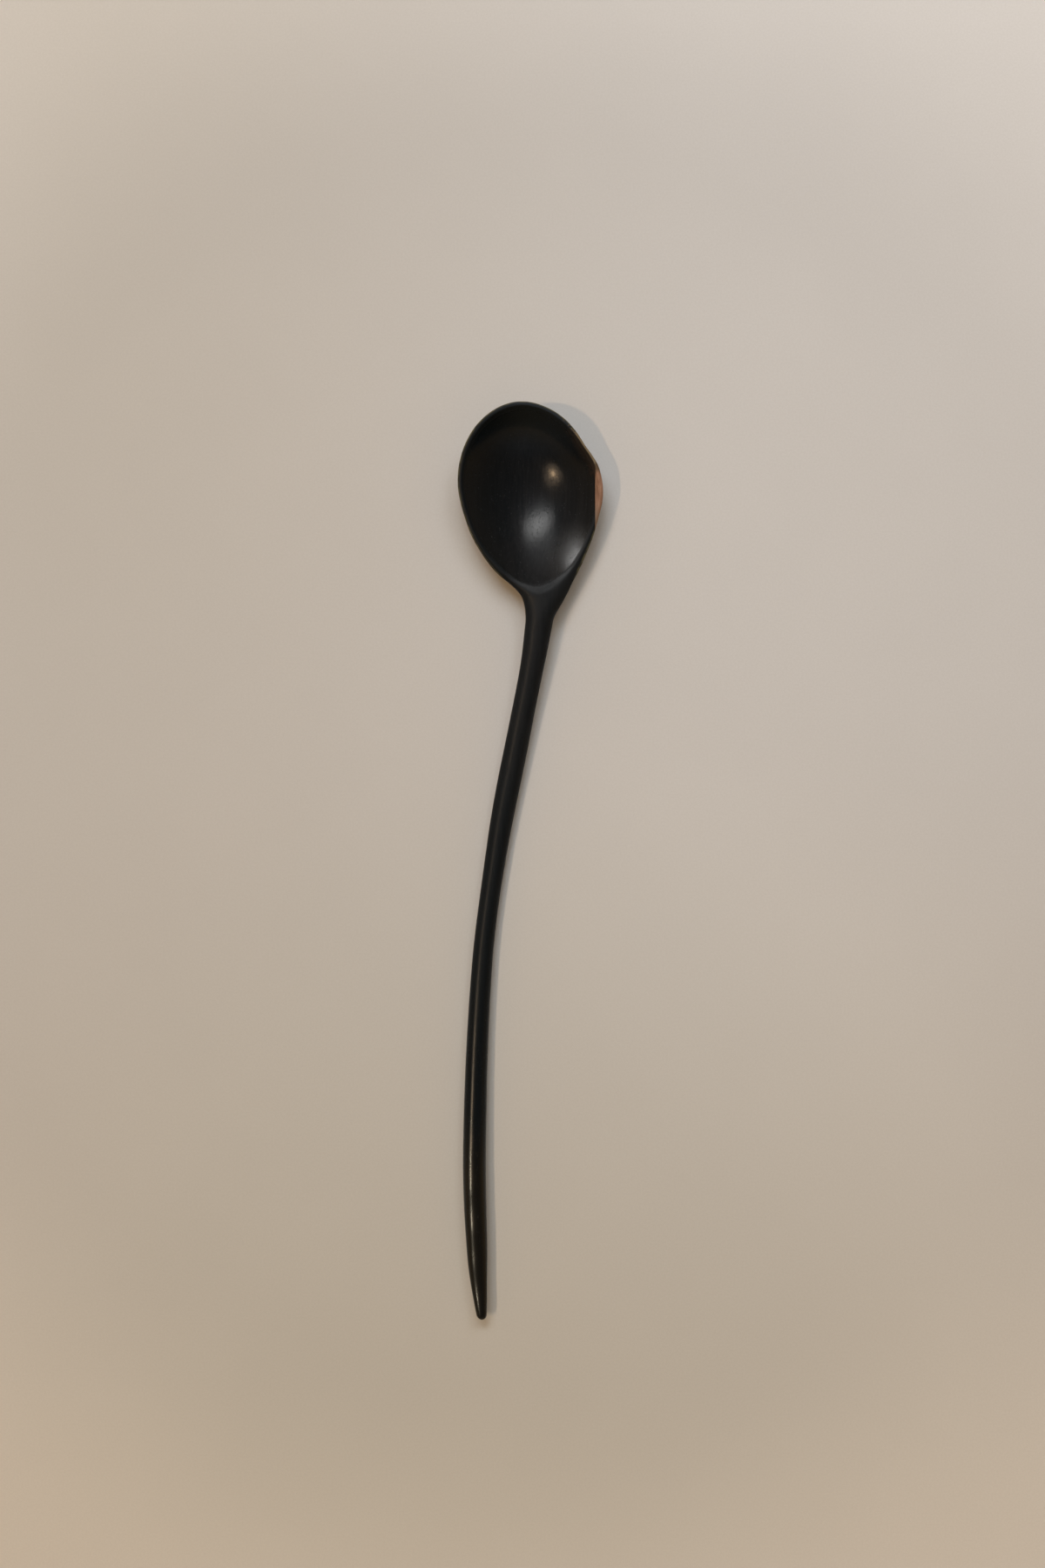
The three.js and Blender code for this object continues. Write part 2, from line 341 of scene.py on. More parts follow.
    def hollow_rim(self, turn: float) -> Vector:
        """Places a point of the hollow's rim.

        Args:
            turn: The angle round the hollow, 0 at its front and half a turn at its back.

        Returns:
            The point, on the spoon's top.
        """
        along = math.cos(turn)
        ahead = along > 0
        back_length = self.bowl_back_length - self.hollow_back_wall
        length = self.bowl_front_length - self.rim_thickness if ahead else back_length
        roundness = self.front_roundness if ahead else self.hollow_back_roundness
        y = length * along
        half = (self.bowl_width / 2 - self.rim_thickness) * quarter(abs(along), roundness)
        side = math.sin(turn)
        if side > 0:
            half -= self.shoulder_flat.at(y) * self.hollow_flat_share
        x = self.hollow_midline.at(y) + math.copysign(half, side)
        return Vector((x, y, self.crown(x, y)))

    def hollow_floor(self) -> Vector:
        """Gives the deepest point of the hollow."""
        y = self.hollow_deepest_at
        x = self.hollow_midline.at(y) + self.hollow_deepest_aside
        return Vector((x, y, self.floor_thickness))

    def hollow_height(self, floor: Vector, rim: Vector, share: float) -> float:
        """Gives the hollow's height on the way from its deepest point out to its rim.

        Args:
            floor: The deepest point.
            rim: The point of the rim.
            share: How far out, 0 at the deepest point, 1 at the rim and more beyond it.

        Returns:
            The height of a shallow dish that turns up to meet the rim.
        """
        reach = math.hypot(rim.x - floor.x, rim.y - floor.y)
        ahead = (rim.y - floor.y) / reach
        bend = (1 - ahead**2) / self.hollow_radius_across + ahead**2 / self.hollow_radius_along
        dish = bend * reach**2 / 2
        steepness = mix(self.hollow_back_steepness, self.hollow_front_steepness, (1 + ahead) / 2)
        return floor.z + dish * share**2 + (rim.z - floor.z - dish) * share**steepness

    def softness(self, turn: float) -> float:
        """Gives how far the hollow's edge is rounded: most where it runs out into the neck."""
        backwards = ease(abs(math.pi - turn), *self.back_edge_turns)
        return mix(self.side_edge_softness, self.back_edge_softness, backwards)

    def strip_plane(self) -> float:
        """Gives the place along X of the plane between the two woods."""
        return self.bowl_width / 2 - self.strip_width


def pull(mesh: BMesh, strand: Sequence[BMVert], closed: bool) -> list[BMVert]:
    """Extrudes a strand of vertices.

    Args:
        mesh: The mesh that holds the strand.
        strand: Vertices in order, each joined to the next by an edge.
        closed: Whether the last is joined to the first as well.

    Returns:
        The new vertices, in the strand's order and still at its places.
    """
    following = list(strand[1:]) + (list(strand[:1]) if closed else [])
    edges = [mesh.edges.get((a, b)) for a, b in zip(strand, following)]
    made = bmesh.ops.extrude_edge_only(mesh, edges=edges)["geom"]
    fresh = {v for v in made if isinstance(v, BMVert)}
    return [
        next(e.other_vert(v) for e in v.link_edges if e.other_vert(v) in fresh) for v in strand
    ]


@dataclass
class CarvedBlank:
    """The whole carved spoon as one closed skin, before it is cut into its two woods."""

    form: SpoonForm
    points_around: int = 96
    handle_stations: int = 132
    tip_stations: int = 8
    neck_stations: int = 10
    front_stations: int = 34
    back_stations: int = 34
    hollow_rings: int = 44
    opening_back_at: float = -0.031
    opening_turn: float = math.radians(155)
    band_shares: tuple[float, ...] = (
        0.004, 0.014, 0.035, 0.07, 0.12, 0.19, 0.28, 0.38, 0.49, 0.6, 0.71, 0.81, 0.91, 1.0,
    )
    ring_crowding: float = 1.5
    rim_shows: Span = (math.radians(26), math.radians(50))
    handle_polish: float = 0.3
    grip_length: float = 0.04
    crown_polish: float = 0.1
    hollow_polish: Span = (1.02, 0.93)
    waver: float = 0.00003
    waver_size: float = 0.009
    waver_squeeze: float = 0.45
    facet: float = 0.0004
    facet_length: float = 0.0095
    facets_along: Span = (-0.165, -0.195)
    tip_slope: float = 0.0006
    tip_slope_along: Span = (-0.195, -0.235)
    resting_height: float = 0.0001
    rim_layer: BMLayerItem = field(init=False)
    polish_layer: BMLayerItem = field(init=False)

    def build(self) -> BMesh:
        """Lofts the skin.

        Returns:
            A mesh with two float layers: "rim" falls from 1 at the bowl's outer edge to 0 at the
            hollow's, and "polish" is 1 where use has burnished the wood.
        """
        mesh = bmesh.new()
        self.rim_layer = mesh.verts.layers.float.new("rim")
        self.polish_layer = mesh.verts.layers.float.new("polish")
        ring = self.loft_handle(mesh)
        opening, turns = self.loft_hull(mesh, ring)
        self.sink_hollow(mesh, opening, turns)
        bmesh.ops.recalc_face_normals(mesh, faces=mesh.faces[:])
        self.carve_by_hand(mesh)
        return mesh

    def place_section(self, strand: Sequence[BMVert], y: float, first: int) -> None:
        """Moves a strand onto a cross-section.

        Args:
            strand: The vertices.
            y: The section's place along the spoon.
            first: The number of the section's point at which the strand starts.
        """
        form = self.form
        grip = ease(y, form.waist_at, form.tip_end + self.grip_length)
        for i, vert in enumerate(strand):
            vert.co = form.section_point(y, 2 * math.pi * (first + i) / self.points_around)
            vert[self.polish_layer] = mix(self.handle_polish, 1.0, grip)

    def loft_handle(self, mesh: BMesh) -> list[BMVert]:
        """Lofts the handle from its tip to the back of the bowl.

        Args:
            mesh: The mesh to work in.

        Returns:
            The ring at the back of the bowl's opening, from its right edge over the top.
        """
        form = self.form
        made = bmesh.ops.create_circle(
            mesh, cap_ends=True, cap_tris=True, segments=self.points_around, radius=1.0
        )["verts"]
        centre = min(made, key=lambda v: v.co.length)
        ring = [v for v in made if v is not centre]
        ring.sort(key=lambda v: math.atan2(v.co.y, v.co.x) % (2 * math.pi))
        centre.co = form.middle(form.tip_end)
        places = [
            form.tip_end + form.tip_rounding * (1 - math.cos(math.pi / 2 * i / self.tip_stations))
            for i in range(1, self.tip_stations)
        ]
        start = form.tip_end + form.tip_rounding
        places += [
            mix(start, form.neck_at, i / self.handle_stations)
            for i in range(self.handle_stations + 1)
        ]
        places += [
            mix(form.neck_at, self.opening_back_at, i / self.neck_stations)
            for i in range(1, self.neck_stations + 1)
        ]
        self.place_section(ring, places[0], 0)
        for y in places[1:]:
            ring = pull(mesh, ring, closed=True)
            self.place_section(ring, y, 0)
        return ring

    def loft_hull(self, mesh: BMesh, ring: list[BMVert]) -> tuple[list[BMVert], list[float]]:
        """Lofts the open hull of the bowl on from the handle, and closes it at the front.

        Args:
            mesh: The mesh to work in.
            ring: The handle's last ring.

        Returns:
            The edge of the opening, from the front round the right-hand side, and the turn at
            which each of its points faces the hollow.
        """
        half = self.points_around // 2
        back_turns = [
            mix(math.pi / 2, self.opening_turn, i / self.back_stations)
            for i in range(self.back_stations, -1, -1)
        ]
        front_turns = [
            math.pi / 2 * i / self.front_stations for i in range(self.front_stations - 1, 0, -1)
        ]
        back_scale = self.opening_back_at / math.cos(self.opening_turn)
        strand = ring[half:] + ring[:1]
        left, right = [strand[0]], [strand[-1]]
        for turn in back_turns[1:] + front_turns:
            scale = self.form.front_end if turn < math.pi / 2 else back_scale
            strand = pull(mesh, strand, closed=False)
            self.place_section(strand, scale * math.cos(turn), half)
            left.append(strand[0])
            right.append(strand[-1])
        strand = pull(mesh, strand, closed=False)
        front = self.form.middle(self.form.front_end)
        bmesh.ops.pointmerge(mesh, verts=strand, merge_co=front)
        beside = [v for e in right[-1].link_edges for v in e.verts]
        pole = min(beside, key=lambda v: (v.co - front).length)
        side_turns = (back_turns + front_turns)[::-1]
        far_turn = 2 * math.pi - self.opening_turn
        over = [mix(self.opening_turn, far_turn, i / half) for i in range(1, half)]
        opening = [pole] + right[::-1] + ring[1:half] + left
        turns = [0.0] + side_turns + over + [2 * math.pi - turn for turn in side_turns[::-1]]
        return opening, turns

    def sink_hollow(self, mesh: BMesh, opening: list[BMVert], turns: list[float]) -> None:
        """Closes the opening with the rim's crown and the hollow.

        Args:
            mesh: The mesh to work in.
            opening: The edge of the opening.
            turns: The turn of each of its points.
        """
        form = self.form
        floor = form.hollow_floor()
        edges = [v.co.copy() for v in opening]
        rims = [form.hollow_rim(turn) for turn in turns]
        exposed = [ease(abs(math.pi - turn), *self.rim_shows) for turn in turns]
        for vert, share in zip(opening, exposed):
            vert[self.rim_layer] = share
        strand = opening
        for share in self.band_shares:
            strand = pull(mesh, strand, closed=True)
            for vert, edge, rim, turn, shown in zip(strand, edges, rims, turns, exposed):
                place = edge.lerp(rim, share)
                beyond = (place.xy - rim.xy).length / (rim.xy - floor.xy).length
                vert.co = self.top_point(place, rim, floor, 1 + beyond, turn)
                vert[self.rim_layer] = (1 - share) * shown
                vert[self.polish_layer] = self.crown_polish
        for i in range(1, self.hollow_rings):
            share = 1 - (i / self.hollow_rings) ** self.ring_crowding
            strand = pull(mesh, strand, closed=True)
            for vert, rim, turn in zip(strand, rims, turns):
                vert.co = self.top_point(floor.lerp(rim, share), rim, floor, share, turn)
                vert[self.polish_layer] = ease(share, *self.hollow_polish)
        strand = pull(mesh, strand, closed=True)
        bmesh.ops.pointmerge(mesh, verts=strand, merge_co=floor)

    def top_point(
        self, place: Vector, rim: Vector, floor: Vector, share: float, turn: float
    ) -> Vector:
        """Places a point of the top, where the crown and the hollow meet in a soft edge.

        Args:
            place: The point's place seen from above.
            rim: The hollow's rim at this turn.
            floor: The deepest point of the hollow.
            share: How far out the point lies, 0 at the deepest point and 1 at the rim.
            turn: The turn round the hollow.

        Returns:
            The point on the surface.
        """
        form = self.form
        hollow = form.hollow_height(floor, rim, share)
        crown = form.crown(place.x, place.y)
        z = soft_least(crown, hollow, form.softness(turn))
        return Vector((place.x, place.y, z))

    def carve_by_hand(self, mesh: BMesh) -> None:
        """Lets the surface waver as a hand-scraped one does, but not where it rests.

        The top of the grip also gets the long shallow facets that a knife leaves.

        Args:
            mesh: The closed skin.
        """
        mesh.normal_update()
        moves = []
        for vert in mesh.verts:
            x, y, z = vert.co
            along = Vector((x, y * self.waver_squeeze, z)) / self.waver_size
            depth = noise.noise(along) * self.waver
            grip = ease(y, *self.facets_along) * max(vert.normal.z, 0.0)
            depth += grip * noise.noise(Vector((0, y / self.facet_length, 0))) * self.facet
            depth -= grip * ease(y, *self.tip_slope_along) * self.tip_slope
            moves.append(vert.normal * depth if z > self.resting_height else Vector())
        for vert, move in zip(mesh.verts, moves):
            vert.co += move


def add_object(name: str, data: bpy.types.ID) -> bpy.types.Object:
    """Puts a new object with the given data into the scene."""
    made = bpy.data.objects.new(name, data)
    bpy.context.scene.collection.objects.link(made)
    return made


class Side(Enum):
    """The side of the plane between the two woods that a piece keeps."""

    LEFT = "left"
    RIGHT = "right"


@dataclass
class WoodPiece:
    """One wood of the spoon: the carved blank, cut at the plane between the two woods."""

    blank: BMesh
    plane: float
    name: str
    node: str
    slot: str
    side: Side
    snap: float = 1e-7

    def build(self) -> bpy.types.Object:
        """Cuts the blank, closes the cut and makes the piece.

        Returns:
            The piece, attached to the root body, with its CAD node hidden.
        """
        mesh = self.blank.copy()
        cut = bmesh.ops.bisect_plane(
            mesh,
            geom=mesh.verts[:] + mesh.edges[:] + mesh.faces[:],
            dist=self.snap,
            plane_co=(self.plane, 0, 0),
            plane_no=(1, 0, 0),
            clear_outer=self.side is Side.LEFT,
            clear_inner=self.side is Side.RIGHT,
        )["geom_cut"]
        seam = [e for e in cut if isinstance(e, BMEdge)]
        bmesh.ops.holes_fill(mesh, edges=seam, sides=0)
        bmesh.ops.recalc_face_normals(mesh, faces=mesh.faces[:])
        for face in mesh.faces:
            face.smooth = True
        for edge in seam:
            edge.smooth = False
        data = bpy.data.meshes.new(self.name)
        mesh.to_mesh(data)
        mesh.free()
        piece = add_object(self.name, data)
        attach(piece, "root")
        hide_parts(self.node)
        return piece


class Graph:
    """Adds nodes to one node tree and joins them."""

    def __init__(self, tree: bpy.types.NodeTree) -> None:
        """Takes the tree to work in."""
        self.tree = tree

    def add(self, kind: str, **settings: str) -> bpy.types.Node:
        """Adds a node.

        Args:
            kind: The node's type.
            settings: Values for the node's own settings.

        Returns:
            The node.
        """
        node = self.tree.nodes.new(kind)
        for name, value in settings.items():
            setattr(node, name, value)
        return node

    def put(self, node: bpy.types.Node, socket: str | int, value: Source) -> None:
        """Gives an input a value, or joins the output that is to feed it.

        Args:
            node: The node that has the input.
            socket: The input's name or number.
            value: The value, or the output.
        """
        if isinstance(value, bpy.types.NodeSocket):
            self.tree.links.new(value, node.inputs[socket])
        else:
            node.inputs[socket].default_value = value

    def fill(self, node: bpy.types.Node, *values: Source) -> bpy.types.NodeOutputs:
        """Gives a node's first inputs their values.

        Args:
            node: The node.
            values: The values or outputs, in the order of the node's inputs.

        Returns:
            The node's outputs.
        """
        for socket, value in enumerate(values):
            self.put(node, socket, value)
        return node.outputs

    def place(self) -> bpy.types.NodeSocket:
        """Gives the place on the object, in metres."""
        return self.add("ShaderNodeTexCoord").outputs["Object"]

    def attribute(self, name: str) -> bpy.types.NodeSocket:
        """Gives one of the mesh's float layers."""
        return self.add("ShaderNodeAttribute", attribute_name=name).outputs["Fac"]

    def seen(self) -> bpy.types.NodeSocket:
        """Gives 1 where the camera looks straight at a surface, and 0 for every other ray."""
        return self.add("ShaderNodeLightPath").outputs["Is Camera Ray"]

    def axes(self, vector: Source) -> bpy.types.NodeOutputs:
        """Gives the X, Y and Z of a vector."""
        return self.fill(self.add("ShaderNodeSeparateXYZ"), vector)

    def joined(self, x: Source, y: Source, z: Source) -> bpy.types.NodeSocket:
        """Makes a vector of three numbers."""
        return self.fill(self.add("ShaderNodeCombineXYZ"), x, y, z)[0]

    def vector(self, operation: str, first: Source, second: Source) -> bpy.types.NodeSocket:
        """Gives the vector that an operation makes of two."""
        node = self.add("ShaderNodeVectorMath", operation=operation)
        return self.fill(node, first, second)["Vector"]

    def measure(self, operation: str, first: Source, second: Source) -> bpy.types.NodeSocket:
        """Gives the number that an operation makes of two vectors."""
        node = self.add("ShaderNodeVectorMath", operation=operation)
        return self.fill(node, first, second)["Value"]

    def math(self, operation: str, first: Source, second: Source) -> bpy.types.NodeSocket:
        """Gives the number that an operation makes of two."""
        return self.fill(self.add("ShaderNodeMath", operation=operation), first, second)[0]

    def plus(self, first: Source, second: Source) -> bpy.types.NodeSocket:
        """Adds two numbers."""
        return self.math("ADD", first, second)

    def minus(self, first: Source, second: Source) -> bpy.types.NodeSocket:
        """Takes the second number from the first."""
        return self.math("SUBTRACT", first, second)

    def times(self, first: Source, second: Source) -> bpy.types.NodeSocket:
        """Multiplies two numbers."""
        return self.math("MULTIPLY", first, second)

    def noise(self, vector: Source, scale: Source, detail: float = 2.0) -> bpy.types.NodeSocket:
        """Gives a soft random value, mostly between 0.3 and 0.7.

        Args:
            vector: The place.
            scale: How many clouds lie in a metre.
            detail: How many finer layers the clouds have.

        Returns:
            The value.
        """
        node = self.add("ShaderNodeTexNoise")
        self.put(node, "Vector", vector)
        self.put(node, "Scale", scale)
        self.put(node, "Detail", detail)
        return node.outputs[0]

    def span(
        self, value: Source, start: Source, end: Source, low: Source = 0.0, high: Source = 1.0
    ) -> bpy.types.NodeSocket:
        """Goes smoothly from low to high while a value goes from start to end."""
        node = self.add("ShaderNodeMapRange", interpolation_type="SMOOTHSTEP")
        return self.fill(node, value, start, end, low, high)[0]

    def blend(
        self, share: Source, first: Source, second: Source, how: str = "MIX"
    ) -> bpy.types.NodeSocket:
        """Gives a colour made of two.

        Args:
            share: How much of the second colour shows.
            first: One colour.
            second: The other colour.
            how: The way in which the second colour goes over the first.

        Returns:
            The colour.
        """
        node = self.add("ShaderNodeMix", data_type="RGBA", blend_type=how)
        self.put(node, 0, share)
        self.put(node, 6, first)
        self.put(node, 7, second)
        return node.outputs[2]

    def tint(self, colour: Source, tone: Source) -> bpy.types.NodeSocket:
        """Multiplies a colour by a tone."""
        return self.blend(1.0, colour, tone, "MULTIPLY")

    def bump(self, height: Source, strength: float, distance: float) -> bpy.types.NodeSocket:
        """Gives the normal of a surface with a fine relief.

        Args:
            height: The relief, from 0 to 1.
            strength: How much of it shows.
            distance: How high it stands, in metres.

        Returns:
            The normal.
        """
        node = self.add("ShaderNodeBump")
        self.put(node, "Height", height)
        self.put(node, "Strength", strength)
        self.put(node, "Distance", distance)
        return node.outputs[0]

    def group(self, tree: bpy.types.NodeTree, **values: Source) -> bpy.types.NodeOutputs:
        """Adds a node group.

        Args:
            tree: The group.
            values: A value for each input, by the input's name in small letters.

        Returns:
            The group's outputs.
        """
        node = self.add("ShaderNodeGroup")
        node.node_tree = tree
        for name, value in values.items():
            self.put(node, name.capitalize(), value)
        return node.outputs

    def choose(self, share: Source, first: Source, second: Source, node: str) -> None:
        """Ends the tree with a choice between two shaders.

        Args:
            share: How much of the second shader shows.
            first: One shader.
            second: The other shader.
            node: The name of the tree's own output node.
        """
        both = self.fill(self.add("ShaderNodeMixShader"), share, first, second)[0]
        self.put(self.tree.nodes[node], "Surface", both)


def new_group(
    name: str, inputs: dict[str, str], outputs: dict[str, str]
) -> tuple[Graph, bpy.types.Node, bpy.types.Node]:
    """Starts a node group.

    Args:
        name: The group's name.
        inputs: The kind of socket of each input.
        outputs: The kind of socket of each output.

    Returns:
        The group's graph, with its input node and its output node.
    """
    tree = bpy.data.node_groups.new(name, "ShaderNodeTree")
    for label, kind in inputs.items():
        tree.interface.new_socket(label, in_out="INPUT", socket_type=kind)
    for label, kind in outputs.items():
        tree.interface.new_socket(label, in_out="OUTPUT", socket_type=kind)
    graph = Graph(tree)
    return graph, graph.add("NodeGroupInput"), graph.add("NodeGroupOutput")


def new_material(name: str) -> tuple[bpy.types.Material, Graph, bpy.types.Node]:
    """Starts a material.

    Args:
        name: The material's name.

    Returns:
        The material, with its graph and its shader.
    """
    material = bpy.data.materials.new(name)
    material.use_nodes = True
    graph = Graph(material.node_tree)
    return material, graph, graph.tree.nodes["Principled BSDF"]


@dataclass
class WoodEffects:
    """The node groups that both woods share."""

    waviness: float = 0.0012
    waviness_size: float = 60.0
    figure_coarseness: float = 0.22
    streak_span: Span = (0.36, 0.66)
    figure_span: Span = (0.34, 0.66)
    pore_shape: Place = (1.0, 0.5, 1.0)
    pore_level: float = 0.78
    pore_softness: float = 0.07
    ragged_fineness: float = 900.0
    ragged_span: Span = (0.35, 0.65, 0.55, 1.15)
    patch_span: Span = (1.0, 0.45)
    grain: bpy.types.NodeTree = field(init=False)
    pores: bpy.types.NodeTree = field(init=False)
    worn: bpy.types.NodeTree = field(init=False)

    def __post_init__(self) -> None:
        """Builds the groups."""
        self.grain = self.straight_grain()
        self.pores = self.open_pores()
        self.worn = self.worn_place()

    def straight_grain(self) -> bpy.types.NodeTree:
        """Streaks along the spoon's length, which wander a little."""
        graph, start, end = new_group(
            "straight_grain",
            {"Fineness": NUMBER, "Stretch": NUMBER},
            {"Streak": NUMBER, "Figure": NUMBER},
        )
        fineness = start.outputs["Fineness"]
        place = graph.place()
        drift = graph.minus(graph.noise(place, self.waviness_size, 1.0), 0.5)
        aside = graph.joined(graph.times(drift, self.waviness), 0.0, 0.0)
        slim = graph.joined(1.0, start.outputs["Stretch"], 1.0)
        along = graph.vector("MULTIPLY", graph.vector("ADD", place, aside), slim)
        fine = graph.noise(along, fineness, 4.0)
        broad = graph.noise(along, graph.times(fineness, self.figure_coarseness))
        graph.put(end, "Streak", graph.span(fine, *self.streak_span))
        graph.put(end, "Figure", graph.span(broad, *self.figure_span))
        return graph.tree

    def open_pores(self) -> bpy.types.NodeTree:
        """Short slits that run along the grain."""
        graph, start, end = new_group(
            "open_pores", {"Fineness": NUMBER, "Openness": NUMBER}, {"Pore": NUMBER}
        )
        along = graph.vector("MULTIPLY", graph.place(), self.pore_shape)
        value = graph.noise(along, start.outputs["Fineness"], 1.0)
        edge = graph.minus(self.pore_level, start.outputs["Openness"])
        pore = graph.span(value, edge, graph.plus(edge, self.pore_softness))
        graph.put(end, "Pore", pore)
        return graph.tree

    def worn_place(self) -> bpy.types.NodeTree:
        """A patch round one place, with a broken edge."""
        graph, start, end = new_group(
            "worn_place", {"Centre": VECTOR, "Radius": NUMBER}, {"Mask": NUMBER}
        )
        place = graph.place()
        away = graph.measure("DISTANCE", place, start.outputs["Centre"])
        ragged = graph.span(graph.noise(place, self.ragged_fineness, 3.0), *self.ragged_span)
        far = graph.math("DIVIDE", away, graph.times(start.outputs["Radius"], ragged))
        graph.put(end, "Mask", graph.span(far, *self.patch_span))
        return graph.tree


@dataclass(frozen=True)
class Grain:
    """How fine and long a wood's streaks are, and how fine and open its pores."""

    fineness: float
    stretch: float
    pore_fineness: float
    pore_openness: float

    def lay(self, graph: Graph, effects: WoodEffects) -> tuple[Source, Source, Source]:
        """Lays the grain in a material.

        Args:
            graph: The material's graph.
            effects: The node groups of both woods.

        Returns:
            The fine streaks, the broad figure and the open pores.
        """
        grain = graph.group(effects.grain, fineness=self.fineness, stretch=self.stretch)
        pores = graph.group(
            effects.pores, fineness=self.pore_fineness, openness=self.pore_openness
        )
        return grain["Streak"], grain["Figure"], pores["Pore"]


@dataclass(frozen=True)
class Patch:
    """A round place. Its core is the share of the radius within which it is all alike."""

    centre: Place
    radius: float
    core: float = 0.0


@dataclass(frozen=True)
class DarkWood:
    """Near-black close-grained wood, oiled, and burnished in the hollow and at the grip."""

    effects: WoodEffects
    grain: Grain = Grain(1500.0, 0.035, 2600.0, 0.12)
    deep: Colour = (0.0044, 0.0064, 0.0090, 1.0)
    light: Colour = (0.0066, 0.0086, 0.0113, 1.0)
    figure: Colour = (0.0092, 0.0104, 0.0127, 1.0)
    figure_share: float = 0.4
    # Painted light: a lighter, bluer colour towards the front of the bowl, whose steep front wall
    # faces away from the window.
    painted_front_light: Colour = (0.0165, 0.0232, 0.0335, 1.0)
    painted_front_light_span: Span = (0.007, 0.020)
    # Painted shade: darker and bluer towards the left side of the whole spoon.
    shaded: Colour = (0.0012, 0.0036, 0.0060, 1.0)
    shaded_aside: Span = (0.0, -0.013, 0.0, 0.65)
    reddish: Colour = (0.034, 0.0165, 0.0105, 1.0)
    reddish_patch: Patch = Patch((0.0183, 0.0045, 0.0115), 0.0040)
    reddish_share: float = 0.3
    # Partly wear and partly a painted highlight: a pale, broken line along the rim's outer edge.
    worn_edge_highlight: Colour = (0.135, 0.132, 0.085, 1.0)
    worn_edge_highlight_span: Span = (0.5, 0.9)
    breaks_fineness: float = 350.0
    breaks_span: Span = (0.35, 0.6, 0.25, 0.75)
    # The worn place on the right-hand rim, where both the brown and the golden painted highlights
    # lie.
    rubbed_highlight_patch: Patch = Patch((0.0163, 0.0098, 0.0125), 0.0114)
    # Painted highlight: a soft brown band along the right-hand shoulder and over the rim, within
    # the worn place.
    brown_highlight: Colour = (0.060, 0.047, 0.038, 1.0)
    brown_highlight_span: Span = (0.0, 0.3, 0.0, 0.25)
    shoulder_faces: Place = (0.81, 0.58, 0.0)
    shoulder_span: Span = (0.0157, 0.0187, 0.0, 0.4)
    # Partly wear and partly a painted highlight: a golden line along the rim's outer edge, within
    # the worn place.
    rubbed_highlight: Colour = (0.18, 0.145, 0.098, 1.0)
    rubbed_highlight_span: Span = (0.15, 0.4)
    held_span: Span = (-0.175, -0.200)
    held_tone: Ends = (1.0, 0.4)
    held_coat: Ends = (0.0, 0.22)
    matt: float = 0.58
    polished: float = 0.18
    pore_roughness: float = 0.12
    streak_roughness: Ends = (-0.015, 0.025)
    smooth_patch: Patch = Patch((0.0062, 0.0050, 0.0030), 0.0085, 0.4)
    smoothest: float = 0.11
    oil_span: Span = (0.2, 1.0, 0.02, 0.06)
    oil_ahead: Span = (0.006, 0.013, 1.0, 0.3)
    oil_in_pore: float = 0.6
    burnished_patch: Patch = Patch((0.0130, -0.0200, 0.0076), 0.0125, 0.1)
    burnished_coat: float = 0.26
    coat_roughness: float = 0.26
    coat_ior: float = 1.8
    specular: float = 0.095
    streak_height: float = 0.1
    speckle_height: float = 0.35
    speckle_fineness: float = 1400.0
    relief_strength: float = 0.6
    relief_height: float = 0.00009

    def make(self) -> bpy.types.Material:
        """Builds the material."""
        material, graph, shader = new_material("dark_wood")
        streak, figure, pore = self.grain.lay(graph, self.effects)
        colour = self.wear_and_highlights(graph, self.colour(graph, streak, figure))
        graph.put(shader, "Base Color", colour)
        graph.put(shader, "Roughness", self.roughness(graph, streak, pore))
        graph.put(shader, "Coat Weight", self.coat(graph, pore))
        graph.put(shader, "Coat Roughness", self.coat_roughness)
        graph.put(shader, "Coat IOR", self.coat_ior)
        graph.put(shader, "Specular IOR Level", self.specular)
        graph.put(shader, "Normal", self.relief(graph, streak, pore))
        return material

    def mask(self, graph: Graph, patch: Patch) -> bpy.types.NodeSocket:
        """Gives 1 inside a patch and 0 outside, with a broken edge."""
        worn = graph.group(self.effects.worn, centre=patch.centre, radius=patch.radius)
        return worn["Mask"]

    def colour(self, graph: Graph, streak: Source, figure: Source) -> bpy.types.NodeSocket:
        """Mixes the colour of the wood itself, with painted light that makes the front of the bowl
        lighter and painted shade that makes the left side darker.

        Args:
            graph: The material's graph.
            streak: The fine grain.
            figure: The broad grain.

        Returns:
            The colour.
        """
        axes = graph.axes(graph.place())
        colour = graph.blend(streak, self.deep, self.light)
        colour = graph.blend(graph.times(figure, self.figure_share), colour, self.figure)
        # Painted light: lighter and bluer towards the front of the bowl.
        colour = graph.blend(graph.span(axes["Y"], *self.painted_front_light_span), colour, self.painted_front_light)
        # Painted shade: darker towards the left.
        return graph.blend(graph.span(axes["X"], *self.shaded_aside), colour, self.shaded)

    def wear_and_highlights(self, graph: Graph, colour: Source) -> bpy.types.NodeSocket:
        """Stains and wears the rim, paints highlights on it and its right-hand shoulder, and
        darkens the grip where it is held.

        Args:
            graph: The material's graph.
            colour: The colour of the wood itself.

        Returns:
            The colour with its stain, wear and painted highlights.
        """
        place = graph.place()
        stained = graph.times(self.mask(graph, self.reddish_patch), self.reddish_share)
        colour = graph.blend(stained, colour, self.reddish)
        rim = graph.attribute("rim")
        # The rim's outer edge: partly wear and partly a painted highlight, broken up by noise.
        breaks = graph.span(graph.noise(place, self.breaks_fineness), *self.breaks_span)
        edge = graph.times(graph.span(rim, *self.worn_edge_highlight_span), breaks)
        colour = graph.blend(edge, colour, self.worn_edge_highlight)
